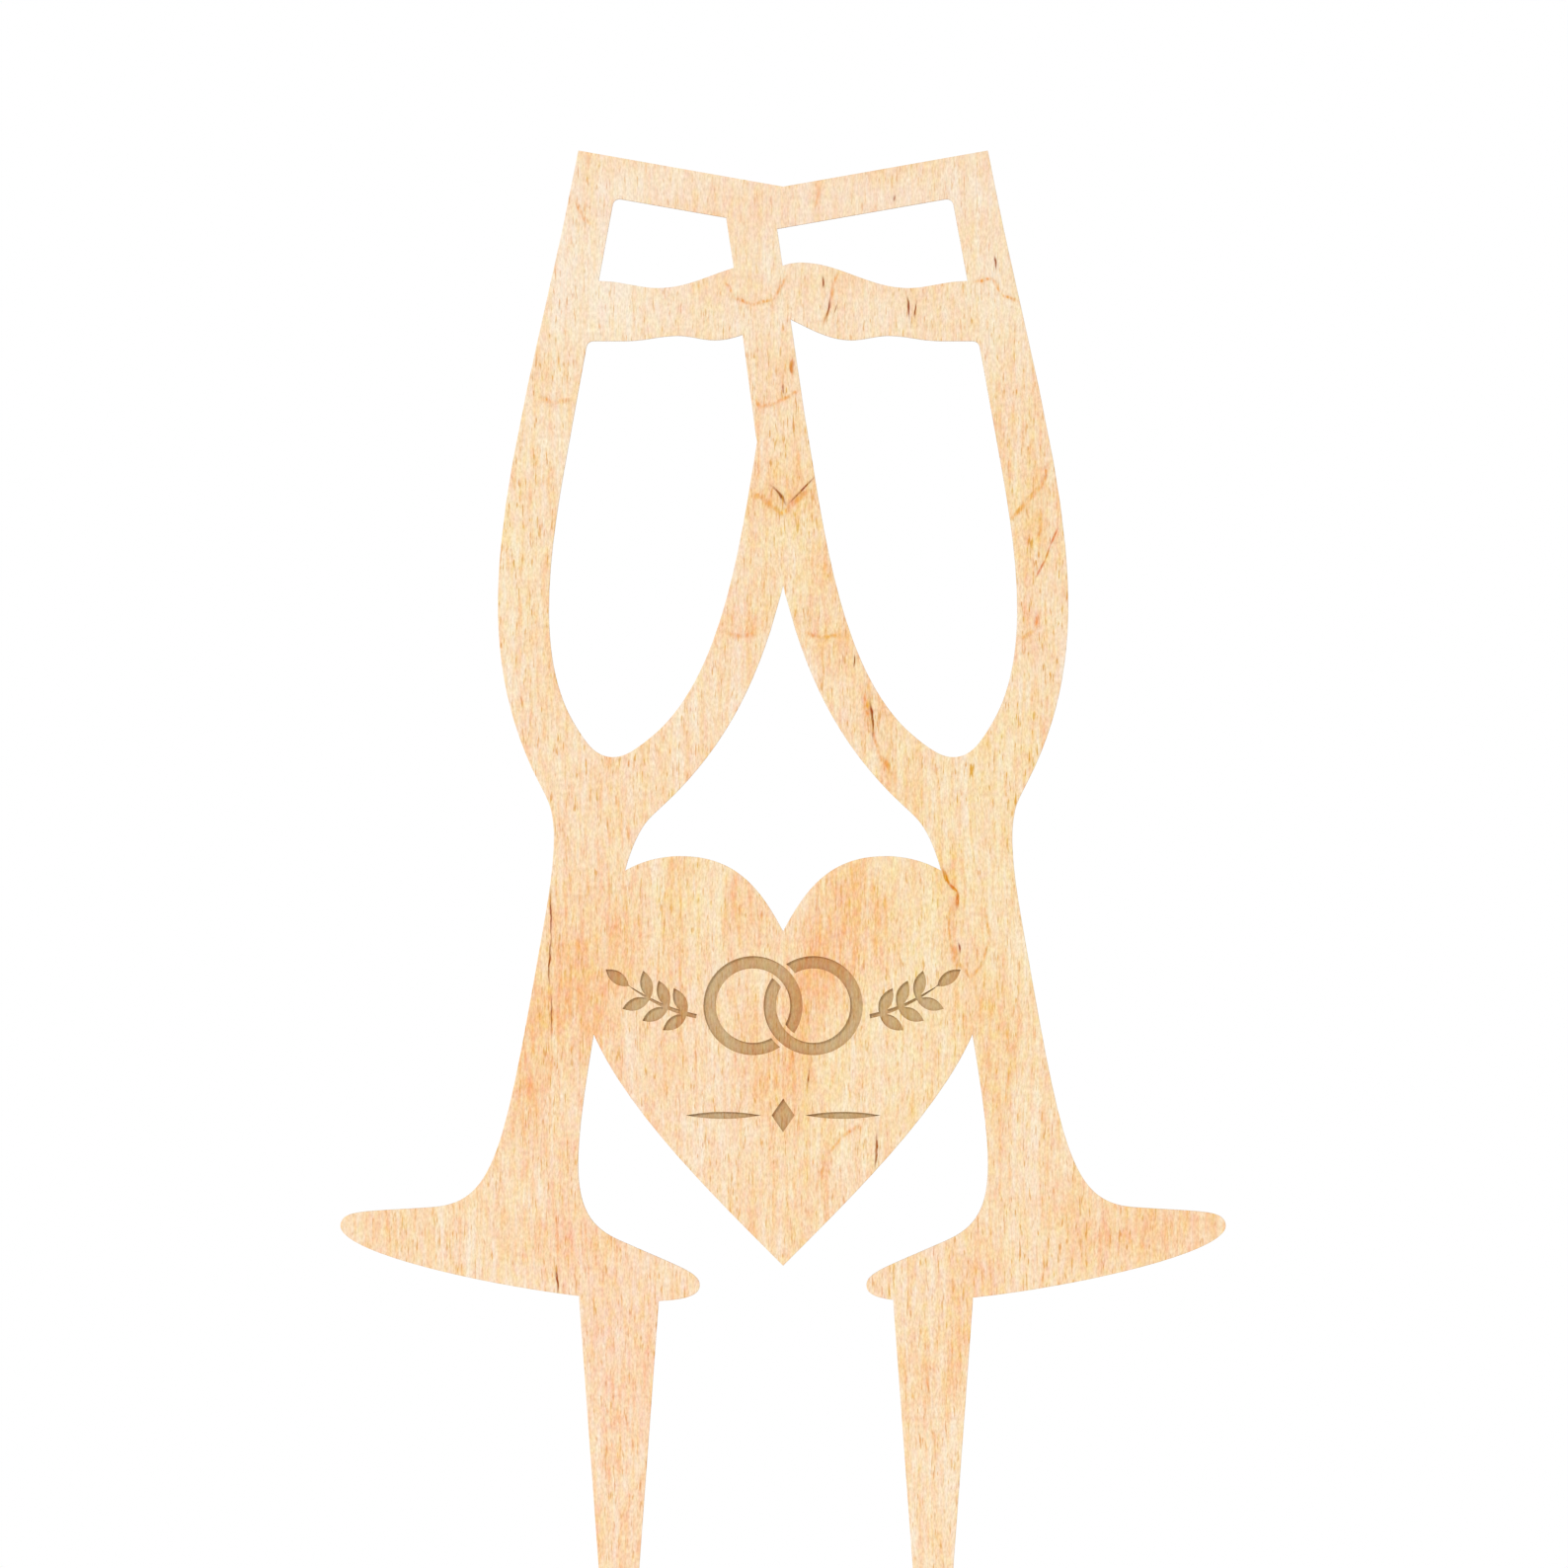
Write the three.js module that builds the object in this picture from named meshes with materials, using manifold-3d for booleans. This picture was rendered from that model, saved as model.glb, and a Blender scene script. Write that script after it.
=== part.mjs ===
// Wedding cake topper: two champagne flutes leaning together over a heart, on two stakes that push
// into the cake. It is laser-cut from one sheet of three-ply birch plywood, so its separate pieces
// are the layers of that sheet, which all share one outline.
//
// Millimetres, +Z up. X runs across the topper and -Y is its engraved front. The origin is in the
// middle of the sheet's thickness, half way between the feet, at the height of the cake's top.
// Outlines are drawn in the plane of the sheet, with y for height, and the sheet is then stood up.

import * as THREE from "three";
import { mergeVertices } from "three/addons/utils/BufferGeometryUtils.js";
import Module from "manifold-3d";

// Layers of the plywood
const FACE_VENEER = 0.9;
const GLUE_LINE = 0.1;
const CORE_VENEER = 1.0;

// How the flutes stand: between the middles of their feet, and degrees that each leans inwards
const FEET_APART = 60.7;
const LEAN = 10;

// Widths of a flute, from the foot up
const FOOT_WIDTH = 41.2;
const FOOT_CROWN_WIDTH = 21.5;
const WAIST_WIDTH = 7.7;
const NECK_WIDTH = 12.3;
const BELLY_WIDTH = 32.8;
const RIM_WIDTH = 30.4;

// Heights along a flute, each above the one before, from the middle of the foot's underside
const FOOT_EDGE_RISE = 3.5;
const FOOT_CROWN_RISE = 3.7;
const WAIST_RISE = 32.4;
const NECK_RISE = 15.6;
const BELLY_RISE = 36.4;
const RIM_RISE = 36.1;

// Slopes of a flute's edge in degrees: the foot's crown from level, the others from the flute's axis
const FOOT_CROWN_SLOPE = 14;
const NECK_SLOPE = 38.5;
const RIM_SLOPE = 0.3;

// How far a flute's edge keeps its heading on either side of each of those places
const UNDERSIDE_REACH = 10;
const FOOT_EDGE_REACH_DOWN = 2.5;
const FOOT_EDGE_REACH_UP = 1.7;
const FOOT_CROWN_REACH_OUT = 7.8;
const FOOT_CROWN_REACH_IN = 7.2;
const WAIST_REACH_DOWN = 24.5;
const WAIST_REACH_UP = 6;
const NECK_REACH_DOWN = 3.7;
const NECK_REACH_UP = 12.4;
const BELLY_REACH_DOWN = 16.7;
const BELLY_REACH_UP = 11.6;
const RIM_REACH = 11.5;

// Inside of the bowl: the band under the rim, the walls, and the flanks of its floor above the neck
const RIM_BAND = 4.6;
const OUTBOARD_RIM_WALL = 4.9;
const INBOARD_RIM_WALL = 5.4;
const BELLY_WALL = 5.9;
const FLOOR_RISE = 5.6;
const FLANK_RISE = 2.5;
const FLANK_WIDTH = 7.9;
const FLANK_SLOPE = 43;
const FLOOR_REACH = 1.7;
const FLANK_REACH_DOWN = 1.6;
const FLANK_REACH_UP = 8.5;
const INSIDE_REACH = 11;
const WINDOW_FILLET = 0.9;

// Drink in the flute, a level band with rippled edges: how far below the rim its surface meets the
// flute's axis, and the crests and troughs of both edges as steps outboard and up from that point
const DRINK_DEPTH = 12.3;
const DRINK_TOP_TURNS = [[-16.4, -0.4], [-8.4, 2.1], [3.8, -0.8], [10.3, 0]];
const DRINK_BOTTOM_TURNS = [[-14.5, -2.9], [-2.6, -6.7], [1.6, -6.2], [7.4, -6.8]];

// Heart between the stems: heights above the cake, and how far its sides stop short of the stem axes
const HEART_TIP_HEIGHT = 4;
const HEART_SIDE_RISE = 33.7;
const HEART_LOBE_RISE = 12.6;
const HEART_CLEFT_DEPTH = 8.5;
const HEART_STEM_INSET = 0.8;
const HEART_TIP_SLOPE = 45;
const HEART_CLEFT_SLOPE = 28;
const HEART_TIP_REACH = 14.9;
const HEART_SIDE_REACH_DOWN = 10.8;
const HEART_SIDE_REACH_UP = 10.5;
const HEART_LOBE_REACH_OUT = 4.1;
const HEART_LOBE_REACH_IN = 6.4;
const HEART_CLEFT_REACH = 5.3;

// Stakes: width at the cake's top, depth in the cake, and steps inwards from the middles of the feet
const STAKE_WIDTH = 9;
const STAKE_LENGTH = 50;
const STAKE_TIP_RADIUS = 0.9;
const LEFT_STAKE_INSET = 11.8;
const RIGHT_STAKE_INSET = 13.4;

// Engraving on the heart: two linked rings between sprigs of leaves, over a divider with a diamond,
// with the heights of the rings and of the divider above the heart's tip
const ENGRAVING_DEPTH = 0.35;
const RINGS_RISE = 29.4;
const RINGS_APART = 6.8;
const RING_RADIUS = 5.6;
const RING_BAND = 1.4;
const RING_GAP = 0.4;
const SPRIG_GAP = 0.8;
const SPRIG_LENGTH = 8.4;
const SPRIG_CLIMB = 4;
const SPRIG_SAG = 1.2;
const SPRIG_STEM = 0.5;
const LEAF_PAIRS = 3;
const TIP_LEAF_SHARE = 0.9;
const LEAF_LENGTH = 3.3;
const LEAF_WIDTH = 1.4;
const LEAF_SPREAD = 48;
const DIVIDER_RISE = 17;
const DIVIDER_WIDTH = 22;
const DIAMOND_WIDTH = 2.6;
const DIAMOND_HEIGHT = 3.8;
const DASH_GAP = 1.2;
const DASH_THICKNESS = 0.8;

// How far a chord may stray from the curve that it stands for, the fewest chords that stand for a
// curve, and how far cuts run past a face
const OUTLINE_TOLERANCE = 0.04;
const ENGRAVING_TOLERANCE = 0.015;
const FEWEST_CHORDS = 3;
const CUT_OVERRUN = 1;

// Headings in the plane of the sheet, in degrees anticlockwise from +X
const OUTWARD = 0;
const UP = 90;
const INWARD = 180;
const DOWN = 270;

const wasm = await Module();
wasm.setup();

/** The unit step along a heading. */
function along(heading) {
  const angle = THREE.MathUtils.degToRad(heading);
  return new THREE.Vector2(Math.cos(angle), Math.sin(angle));
}

/** A place on an edge: where it is, the way the edge heads there, and its reach before and after. */
function station(x, y, heading, before, after) {
  return { at: new THREE.Vector2(x, y), way: along(heading), before, after };
}

/** The smooth curves that pass through a row of stations. */
function curvesThrough(stations) {
  return stations.slice(1).map((next, index) => {
    const last = stations[index];
    const leaving = last.at.clone().addScaledVector(last.way, last.after);
    const arriving = next.at.clone().addScaledVector(next.way, -next.before);
    return new THREE.CubicBezierCurve(last.at, leaving, arriving, next.at);
  });
}

/** How far a curve strays from its chords, measured square to the middle of each chord. */
function strayOf(curve, steps) {
  let stray = 0;
  for (let step = 0; step < steps; step += 1) {
    const start = curve.getPoint(step / steps);
    const chord = curve.getPoint((step + 1) / steps).sub(start);
    const middle = curve.getPoint((step + 0.5) / steps).sub(start);
    stray = Math.max(stray, Math.abs(chord.cross(middle)) / chord.length());
  }
  return stray;
}

/** Points along a row of curves, only as close together as the tolerance asks. */
function pointsAlong(curves, tolerance = OUTLINE_TOLERANCE) {
  const points = [curves[0].getPoint(0)];
  for (const curve of curves) {
    let steps = FEWEST_CHORDS;
    while (strayOf(curve, steps) > tolerance) {
      steps += 1;
    }
    points.push(...curve.getPoints(steps).slice(1));
  }
  return points;
}

/** The points mirrored to the other side of the topper, in the opposite order. */
function mirrored(points) {
  return points.map((point) => new THREE.Vector2(-point.x, point.y)).reverse();
}

/** A closed outline from the points down its right side. */
function closed(rightSide) {
  return [...rightSide, ...mirrored(rightSide).filter((point) => point.x !== 0)];
}

/** The outline of a circle. */
function circle(x, y, radius) {
  return pointsAlong([new THREE.EllipseCurve(x, y, radius, radius)], ENGRAVING_TOLERANCE).slice(1);
}

/** A solid from an outline in the plane of the sheet, between two levels across its thickness. */
function slab(points, bottom, top) {
  const geometry = new THREE.ExtrudeGeometry(new THREE.Shape(points), {
    depth: top - bottom,
    bevelEnabled: false,
  });
  geometry.translate(0, 0, bottom);
  geometry.deleteAttribute("normal");
  geometry.deleteAttribute("uv");
  const merged = mergeVertices(geometry);
  return new wasm.Manifold(new wasm.Mesh({
    numProp: 3,
    vertProperties: new Float32Array(merged.attributes.position.array),
    triVerts: new Uint32Array(merged.index.array),
  }));
}

/** Several solids joined to one. */
function joined(solids) {
  return solids.reduce((whole, solid) => whole.add(solid));
}

/** A solid as flat-shaded three.js geometry. */
function geometryOf(solid) {
  const mesh = solid.getMesh();
  const geometry = new THREE.BufferGeometry();
  geometry.setAttribute("position", new THREE.BufferAttribute(mesh.vertProperties, 3));
  geometry.setIndex(new THREE.BufferAttribute(mesh.triVerts, 1));
  const faceted = geometry.toNonIndexed();
  faceted.computeVertexNormals();
  return faceted;
}

// Heights along a flute's own axis, above the middle of its foot's underside
const crownHeight = FOOT_EDGE_RISE + FOOT_CROWN_RISE;
const waistHeight = crownHeight + WAIST_RISE;
const neckHeight = waistHeight + NECK_RISE;
const bellyHeight = neckHeight + BELLY_RISE;
const rimHeight = bellyHeight + RIM_RISE;
const floorHeight = neckHeight + FLOOR_RISE;

// Outline of an upright flute, from its rim down to the middle of its foot's underside
const uprightFlute = closed(pointsAlong(curvesThrough([
  station(RIM_WIDTH / 2, rimHeight, DOWN + RIM_SLOPE, 0, RIM_REACH),
  station(BELLY_WIDTH / 2, bellyHeight, DOWN, BELLY_REACH_UP, BELLY_REACH_DOWN),
  station(NECK_WIDTH / 2, neckHeight, DOWN - NECK_SLOPE, NECK_REACH_UP, NECK_REACH_DOWN),
  station(WAIST_WIDTH / 2, waistHeight, DOWN, WAIST_REACH_UP, WAIST_REACH_DOWN),
  station(FOOT_CROWN_WIDTH / 2, crownHeight, OUTWARD - FOOT_CROWN_SLOPE,
    FOOT_CROWN_REACH_IN, FOOT_CROWN_REACH_OUT),
  station(FOOT_WIDTH / 2, FOOT_EDGE_RISE, DOWN, FOOT_EDGE_REACH_UP, FOOT_EDGE_REACH_DOWN),
  station(0, 0, INWARD, UNDERSIDE_REACH, 0),
])));

/** The curves down the inside of an upright bowl, from the band under the rim to its floor's middle. */
function insideCurves(rimWall) {
  const top = new THREE.Vector2(RIM_WIDTH / 2 - rimWall, rimHeight - RIM_BAND);
  const belly = new THREE.Vector2(BELLY_WIDTH / 2 - BELLY_WALL, bellyHeight);
  const wallHeading = THREE.MathUtils.radToDeg(belly.clone().sub(top).angle());
  return curvesThrough([
    station(top.x, top.y, wallHeading, 0, INSIDE_REACH),
    station(belly.x, belly.y, DOWN, INSIDE_REACH, INSIDE_REACH),
    station(FLANK_WIDTH / 2, floorHeight + FLANK_RISE, DOWN - FLANK_SLOPE,
      FLANK_REACH_UP, FLANK_REACH_DOWN),
    station(0, floorHeight, INWARD, FLOOR_REACH, 0),
  ]);
}

const outboardInside = insideCurves(OUTBOARD_RIM_WALL);
const inboardInside = mirrored(pointsAlong(insideCurves(INBOARD_RIM_WALL)));
const uprightInside = [...pointsAlong(outboardInside), ...inboardInside.slice(1)];

// The right flute leans inwards about the middle of its foot, and stands with its foot on the cake
const leanAngle = THREE.MathUtils.degToRad(LEAN);
const leaned = (point) => point.clone().rotateAround(new THREE.Vector2(), leanAngle);
const footLift = -Math.min(...uprightFlute.map((point) => leaned(point).y));
const footMiddle = new THREE.Vector2(FEET_APART / 2, footLift);
const standing = (point) => leaned(point).add(footMiddle);

const fluteOutline = uprightFlute.map(standing);
const insideOutline = uprightInside.map(standing);

/** A rippled edge, level at each of its turns, that runs on level past both walls of the bowl. */
function ripple(turns) {
  const ease = 0.364; // share of each step that gives a cubic curve the swing of a cosine
  const stations = turns.map(([x, y], index) => {
    const [lastX] = turns[index - 1] ?? [x];
    const [nextX] = turns[index + 1] ?? [x];
    return station(x, y, OUTWARD, (x - lastX) * ease, (nextX - x) * ease);
  });
  const points = pointsAlong(curvesThrough(stations));
  const start = points[0].clone().setX(-BELLY_WIDTH);
  const end = points[points.length - 1].clone().setX(BELLY_WIDTH);
  return [start, ...points, end];
}

const drinkPoint = standing(new THREE.Vector2(0, rimHeight - DRINK_DEPTH));
const drinkBottom = ripple(DRINK_BOTTOM_TURNS).map((point) => point.add(drinkPoint));
const drinkTop = ripple(DRINK_TOP_TURNS).map((point) => point.add(drinkPoint));
const drinkOutline = [...drinkBottom, ...drinkTop.reverse()];

/** Where a falling curve passes a height, and its way on there. */
function crossing(curve, height) {
  let above = 0;
  let below = 1;
  const halvings = 40;
  for (let halving = 0; halving < halvings; halving += 1) {
    const middle = (above + below) / 2;
    if (curve.getPoint(middle).y > height) {
      above = middle;
    } else {
      below = middle;
    }
  }
  return { corner: curve.getPoint(above), wallWay: curve.getTangent(above) };
}

/** The wedge that rounds the corner between an edge and a wall, and is rooted in both of them. */
function filletWedge(corner, edgeWay, wallWay) {
  const halfAngle = Math.acos(edgeWay.dot(wallWay)) / 2;
  const reach = WINDOW_FILLET / Math.tan(halfAngle);
  const onEdge = corner.clone().addScaledVector(edgeWay, reach);
  const onWall = corner.clone().addScaledVector(wallWay, reach);
  const edgeRoot = onEdge.clone().addScaledVector(wallWay, -reach);
  const wallRoot = onWall.clone().addScaledVector(edgeWay, -reach);
  const cornerRoot = corner.clone().addScaledVector(edgeWay, -reach).addScaledVector(wallWay, -reach);
  const round = new THREE.QuadraticBezierCurve(onEdge, corner, onWall);
  return [...pointsAlong([round]), wallRoot, cornerRoot, edgeRoot];
}

// Both windows of a bowl have a rounded corner at the top of the outboard wall
const { v0, v1, v2, v3 } = outboardInside[0];
const wallCurve = new THREE.CubicBezierCurve(...[v0, v1, v2, v3].map(standing));
const drinkBottomEnd = drinkBottom[drinkBottom.length - 1];
const lowCorner = crossing(wallCurve, drinkBottomEnd.y);
const filletOutlines = [
  filletWedge(wallCurve.getPoint(0), along(INWARD + LEAN), wallCurve.getTangent(0)),
  filletWedge(lowCorner.corner, along(INWARD), lowCorner.wallWay),
];

// Heart, whose sides are buried in the stems
const heartSideHeight = HEART_TIP_HEIGHT + HEART_SIDE_RISE;
const heartLobeHeight = heartSideHeight + HEART_LOBE_RISE;
const stemAxisX = FEET_APART / 2 - (heartSideHeight - footLift) * Math.tan(leanAngle);
const heartHalfWidth = stemAxisX - HEART_STEM_INSET;
const heartOutline = closed(pointsAlong(curvesThrough([
  station(0, heartLobeHeight - HEART_CLEFT_DEPTH, UP - HEART_CLEFT_SLOPE, 0, HEART_CLEFT_REACH),
  station(heartHalfWidth / 2, heartLobeHeight, OUTWARD, HEART_LOBE_REACH_IN, HEART_LOBE_REACH_OUT),
  station(heartHalfWidth, heartSideHeight, DOWN, HEART_SIDE_REACH_UP, HEART_SIDE_REACH_DOWN),
  station(0, HEART_TIP_HEIGHT, DOWN - HEART_TIP_SLOPE, HEART_TIP_REACH, 0),
])));

/** A stake under the right foot, from the middle of the foot's thickness down to a rounded tip. */
function stakeOutline(inset) {
  const middleX = FEET_APART / 2 - inset;
  const tipY = STAKE_TIP_RADIUS - STAKE_LENGTH;
  const tip = new THREE.EllipseCurve(middleX, tipY, STAKE_TIP_RADIUS, STAKE_TIP_RADIUS, 0, Math.PI, true);
  const footCentre = standing(new THREE.Vector2(0, FOOT_EDGE_RISE));
  const root = (x) => new THREE.Vector2(x, footCentre.y + (x - footCentre.x) * Math.tan(leanAngle));
  const outerX = middleX + STAKE_WIDTH / 2;
  const innerX = middleX - STAKE_WIDTH / 2;
  return [
    root(outerX),
    new THREE.Vector2(outerX, 0),
    ...pointsAlong([tip]),
    new THREE.Vector2(innerX, 0),
    root(innerX),
  ];
}

const stakeOutlines = [stakeOutline(RIGHT_STAKE_INSET), mirrored(stakeOutline(LEFT_STAKE_INSET))];

/** The whole cut-out at a thickness. The right flute stands in front and hides the left one's edges. */
function panel(thickness) {
  const plate = (points) => slab(points, 0, thickness);
  const cutter = (points) => slab(points, -CUT_OVERRUN, thickness + CUT_OVERRUN);
  const windows = (turned) => [drinkOutline, ...filletOutlines].reduce(
    (opening, points) => opening.subtract(cutter(turned(points))),
    cutter(turned(insideOutline)),
  );
  const rightWindows = windows((points) => points);
  const leftWindows = windows(mirrored).subtract(cutter(fluteOutline));
  const outlines = [fluteOutline, mirrored(fluteOutline), heartOutline, ...stakeOutlines];
  return joined(outlines.map(plate)).subtract(rightWindows).subtract(leftWindows);
}

const ringsHeight = HEART_TIP_HEIGHT + RINGS_RISE;
const dividerHeight = HEART_TIP_HEIGHT + DIVIDER_RISE;

/** A pointed leaf from its base along a heading. */
function leafOutline(base, heading) {
  const tip = base.clone().addScaledVector(along(heading), LEAF_LENGTH);
  const middle = base.clone().lerp(tip, 0.5);
  const bulge = along(heading + UP).multiplyScalar(LEAF_WIDTH);
  const leftEdge = new THREE.QuadraticBezierCurve(base, middle.clone().add(bulge), tip);
  const rightEdge = new THREE.QuadraticBezierCurve(tip, middle.clone().sub(bulge), base);
  return pointsAlong([leftEdge, rightEdge], ENGRAVING_TOLERANCE).slice(1);
}

/** The outlines of the sprig to the right of the rings: its stem, its pairs of leaves and its tip leaf. */
function sprigOutlines() {
  const start = new THREE.Vector2(RINGS_APART / 2 + RING_RADIUS + SPRIG_GAP, ringsHeight - SPRIG_SAG);
  const end = start.clone().add(new THREE.Vector2(SPRIG_LENGTH, SPRIG_CLIMB));
  const bend = start.clone().lerp(end, 0.5).sub(new THREE.Vector2(0, SPRIG_SAG));
  const spine = new THREE.QuadraticBezierCurve(start, bend, end);
  const headingAt = (share) => THREE.MathUtils.radToDeg(spine.getTangent(share).angle());
  const beside = (point, share, turn) => point.clone().addScaledVector(
    along(headingAt(share) + turn),
    SPRIG_STEM / 2,
  );
  const stemEdge = (turn) => [beside(start, 0, turn), beside(bend, 0.5, turn), end];
  const stem = pointsAlong([
    new THREE.QuadraticBezierCurve(...stemEdge(DOWN)),
    new THREE.QuadraticBezierCurve(...stemEdge(UP).reverse()),
  ], ENGRAVING_TOLERANCE);
  const tipLeaf = leafOutline(spine.getPoint(TIP_LEAF_SHARE), headingAt(TIP_LEAF_SHARE));
  const outlines = [stem, tipLeaf];
  for (let pair = 0; pair < LEAF_PAIRS; pair += 1) {
    const share = (pair + 0.5) / (LEAF_PAIRS + 1);
    for (const spread of [LEAF_SPREAD, -LEAF_SPREAD]) {
      outlines.push(leafOutline(spine.getPoint(share), headingAt(share) + spread));
    }
  }
  return outlines;
}

/** The outlines of the divider: a diamond with a tapering dash on the right. */
function dividerOutlines() {
  const at = (x, y) => new THREE.Vector2(x, dividerHeight + y);
  const diamondEnd = DIAMOND_WIDTH / 2;
  const diamondTop = DIAMOND_HEIGHT / 2;
  const dashStart = diamondEnd + DASH_GAP;
  const dashEnd = DIVIDER_WIDTH / 2;
  const dashMiddle = (dashStart + dashEnd) / 2;
  const diamond = [at(diamondEnd, 0), at(0, diamondTop), at(-diamondEnd, 0), at(0, -diamondTop)];
  const dash = pointsAlong([
    new THREE.QuadraticBezierCurve(at(dashStart, 0), at(dashMiddle, -DASH_THICKNESS), at(dashEnd, 0)),
    new THREE.QuadraticBezierCurve(at(dashEnd, 0), at(dashMiddle, DASH_THICKNESS), at(dashStart, 0)),
  ], ENGRAVING_TOLERANCE).slice(1);
  return { diamond, dash };
}

/** Everything that is engraved into a front veneer of some thickness, as one cutter. */
function engraving(thickness) {
  const burn = (points) => slab(points, thickness - ENGRAVING_DEPTH, thickness + CUT_OVERRUN);
  const ringX = RINGS_APART / 2;
  const hoop = (x, outer, inner) => burn(circle(x, ringsHeight, outer)).subtract(
    burn(circle(x, ringsHeight, inner)),
  );
  const bore = RING_RADIUS - RING_BAND;
  const band = (x) => hoop(x, RING_RADIUS, bore);
  const berth = (x) => hoop(x, RING_RADIUS + RING_GAP, bore - RING_GAP);
  const ringsEnd = ringX + RING_RADIUS;
  const upperHalf = burn([
    new THREE.Vector2(-ringsEnd, ringsHeight),
    new THREE.Vector2(ringsEnd, ringsHeight),
    new THREE.Vector2(ringsEnd, ringsHeight + ringsEnd),
    new THREE.Vector2(-ringsEnd, ringsHeight + ringsEnd),
  ]);
  const leftRing = band(-ringX).subtract(berth(ringX).subtract(upperHalf));
  const rightRing = band(ringX).subtract(berth(-ringX).intersect(upperHalf));
  const { diamond, dash } = dividerOutlines();
  const rightOutlines = [...sprigOutlines(), dash];
  const outlines = [diamond, ...rightOutlines, ...rightOutlines.map(mirrored)];
  return joined([leftRing, rightRing, ...outlines.map(burn)]);
}

// The layers from the back of the sheet to its front
const BIRCH = { color: 0xf9d8b0, roughness: 0.7, metalness: 0 };
const CORE_BIRCH = { color: 0xe9c598, roughness: 0.8, metalness: 0 };
const RESIN = { color: 0x8a5a34, roughness: 0.5, metalness: 0 };
const layers = [
  { name: "back_veneer", thickness: FACE_VENEER, finish: BIRCH },
  { name: "back_glue_line", thickness: GLUE_LINE, finish: RESIN },
  { name: "core_veneer", thickness: CORE_VENEER, finish: CORE_BIRCH },
  { name: "front_glue_line", thickness: GLUE_LINE, finish: RESIN },
  { name: "front_veneer", thickness: FACE_VENEER, finish: BIRCH, engraved: true },
];

const topper = new THREE.Group();
topper.rotation.x = Math.PI / 2;
const sheetThickness = layers.reduce((total, layer) => total + layer.thickness, 0);
let level = -sheetThickness / 2;
for (const { name, thickness, finish, engraved } of layers) {
  const blank = panel(thickness);
  const solid = engraved ? blank.subtract(engraving(thickness)) : blank;
  const mesh = new THREE.Mesh(geometryOf(solid), new THREE.MeshStandardMaterial(finish));
  mesh.name = name;
  mesh.position.z = level;
  topper.add(mesh);
  level += thickness;
}

export default topper;
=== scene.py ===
"""Dresses a laser-cut plywood cake topper: its wood, engraving and cut edges, the studio and the camera.

The plies and glue lines are modelled again on the outlines of their CAD solids, as curves smoother than
the solids' chords, with a sanded arris on both faces of the sheet and the engraving burnt into the front.
"""

import logging
import math
from collections.abc import Iterable
from dataclasses import dataclass
from enum import Enum

import bmesh
import bpy
from bmesh.types import BMFace, BMesh, BMVert
from bpy.types import Material, Node, NodeSocket, NodeTree, Object
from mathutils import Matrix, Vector
from mathutils.geometry import interpolate_bezier


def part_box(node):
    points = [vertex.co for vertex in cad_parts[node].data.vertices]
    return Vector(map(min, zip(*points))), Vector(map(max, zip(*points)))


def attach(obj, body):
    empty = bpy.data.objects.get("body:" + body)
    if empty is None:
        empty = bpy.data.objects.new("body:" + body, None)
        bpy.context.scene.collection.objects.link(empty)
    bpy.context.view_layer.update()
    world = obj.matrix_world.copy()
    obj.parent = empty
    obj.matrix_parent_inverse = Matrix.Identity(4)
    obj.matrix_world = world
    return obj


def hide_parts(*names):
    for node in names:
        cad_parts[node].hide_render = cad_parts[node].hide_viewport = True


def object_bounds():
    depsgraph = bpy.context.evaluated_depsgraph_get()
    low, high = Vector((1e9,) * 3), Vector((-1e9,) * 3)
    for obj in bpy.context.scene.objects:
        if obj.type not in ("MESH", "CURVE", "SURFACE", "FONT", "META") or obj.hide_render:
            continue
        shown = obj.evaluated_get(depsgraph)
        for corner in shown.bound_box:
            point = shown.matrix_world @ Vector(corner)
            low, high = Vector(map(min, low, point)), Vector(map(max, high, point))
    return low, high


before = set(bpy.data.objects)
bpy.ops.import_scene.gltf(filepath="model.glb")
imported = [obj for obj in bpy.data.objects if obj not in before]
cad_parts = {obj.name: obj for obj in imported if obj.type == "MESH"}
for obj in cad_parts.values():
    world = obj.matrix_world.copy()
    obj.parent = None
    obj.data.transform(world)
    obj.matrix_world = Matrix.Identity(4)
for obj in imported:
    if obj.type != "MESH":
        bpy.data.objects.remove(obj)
CAD_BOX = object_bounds()

MM = 0.001
BODY = "root"
LOG = logging.getLogger("cake_topper")

# Two points closer than this are one, and a point this close to a level lies on it
SLACK = 0.002 * MM

# A face whose normal has at least this much of Y lies flat in the sheet
FLAT = 0.99999

# Places of the Mix node's colour sockets, whose names it uses more than once
MIX_FACTOR = 0
MIX_A = 6
MIX_B = 7
MIX_RESULT = 2

Line = list[Vector]
Triple = tuple[float, float, float]

# Ways in the sheet: across its grain, and across and along it alike
ACROSS: Triple = (1, 0, 0)
IN_PLANE: Triple = (1, 0, 1)


class Surface(Enum):
    """The kinds of surface on a layer of the sheet, each the number of its material slot."""

    EDGE = 0
    FACE = 1
    ENGRAVED = 2


class Side(Enum):
    """The two faces of the sheet, each the way that it faces along Y."""

    FRONT = -1
    BACK = 1


class Course(Enum):
    """Which way fibres or burns run, as the place of that axis among x, y and z."""

    CROSSWISE = 0
    THROUGH = 1
    UPRIGHT = 2


def linear(colour: str) -> tuple[float, float, float, float]:
    """Turns an sRGB colour into the linear one that shaders take.

    Args:
        colour: The colour as "#RRGGBB".

    Returns:
        Red, green, blue and an alpha of 1.
    """
    shares = [int(colour[start:start + 2], 16) / 255 for start in (1, 3, 5)]
    light = [s / 12.92 if s <= 0.04045 else ((s + 0.055) / 1.055) ** 2.4 for s in shares]
    return light[0], light[1], light[2], 1.0


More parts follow.
